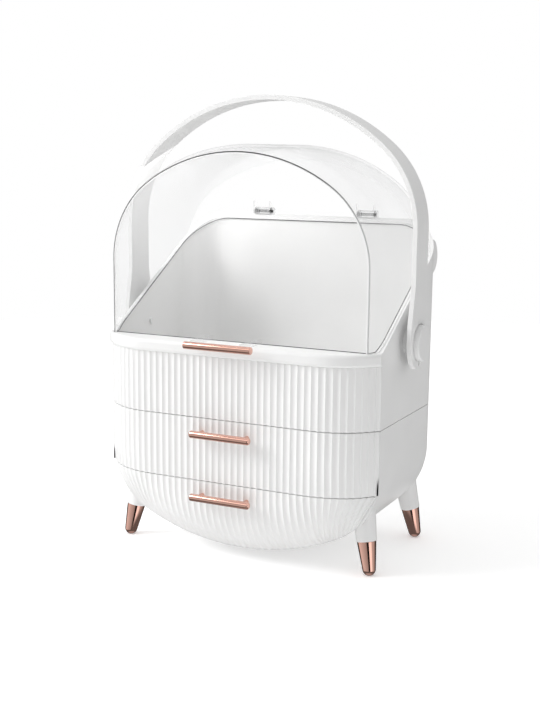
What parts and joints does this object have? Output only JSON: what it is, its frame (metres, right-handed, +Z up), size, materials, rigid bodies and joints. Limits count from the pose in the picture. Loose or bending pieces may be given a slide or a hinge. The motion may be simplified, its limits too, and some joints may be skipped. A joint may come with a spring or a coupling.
{
  "type": "makeup organizer",
  "caption": "Desktop makeup organizer: ribbed cabinet with drawers, clear hinged dust hood, carrying strap and splayed metallic feet.",
  "frame": {"origin": "middle of the floor area under the whole object, on the plane of its feet", "axes": "+X to the right seen from the front, +Y from front to back, +Z up"},
  "size_m": [0.314, 0.2194, 0.432],
  "materials": {
    "white_shell": "smooth moulded, soft gloss",
    "white_inner": "smooth moulded",
    "rose_gold": "mirror-like rose gold plating",
    "clear_hood": "clear, polished",
    "steel": "plain zinc plated"
  },
  "bodies": {
    "cabinet": {"lower_housing": "white_shell", "upper_bin": "white_shell", "rim_trim": "white_shell", "divider_shelf": "white_inner", "upper_runners": "white_inner", "lower_runners": "white_inner", "drawer_stops": "white_inner", "case_screws": "steel", "rear_lugs": "white_shell", "leg_studs": "steel", "hinge_brackets": "clear_hood", "hinge_pins": "clear_hood", "hinge_screws": "steel", "strap_caps": "white_shell", "strap_spacers": "white_inner", "strap_screws": "steel", "leg_tip_front_left": "rose_gold", "leg_tip_front_right": "rose_gold", "leg_tip_rear_left": "rose_gold", "leg_tip_rear_right": "rose_gold", "leg_socket_front_left": "white_shell", "leg_socket_front_right": "white_shell", "leg_socket_rear_left": "white_shell", "leg_socket_rear_right": "white_shell"},
    "upper_drawer": {"upper_drawer_front": "white_shell", "upper_drawer_tray": "white_inner", "upper_drawer_pull": "rose_gold", "upper_pull_posts": "rose_gold", "upper_drawer_screws": "steel"},
    "lower_drawer": {"lower_drawer_front": "white_shell", "lower_drawer_tray": "white_inner", "lower_drawer_pull": "rose_gold", "lower_pull_posts": "rose_gold", "lower_drawer_screws": "steel"},
    "lid": {"lid_hood": "clear_hood", "lid_hinge_arms": "clear_hood", "lid_pull": "rose_gold", "lid_pull_posts": "clear_hood"},
    "strap": {"strap_handle": "white_shell"}
  },
  "joints": [
    {"name": "upper_drawer_slide", "type": "slide", "parent": "cabinet", "child": "upper_drawer", "axis": [0, -1, 0], "range_m": [0, 0.1]},
    {"name": "lower_drawer_slide", "type": "slide", "parent": "cabinet", "child": "lower_drawer", "axis": [0, -1, 0], "range_m": [0, 0.1]},
    {"name": "lid_hinge", "type": "hinge", "parent": "cabinet", "child": "lid", "pos_m": [0, 0.10335, 0.3186], "axis": [-1, 0, 0], "range_deg": [0, 95]},
    {"name": "strap_hinge", "type": "hinge", "parent": "cabinet", "child": "strap", "pos_m": [0, 0.00125, 0.2095], "axis": [-1, 0, 0], "range_deg": [0, 115]}
  ],
  "couplings": [
    {"joint": "strap_hinge", "follows": "lid_hinge", "ratio": 1.2}
  ]
}
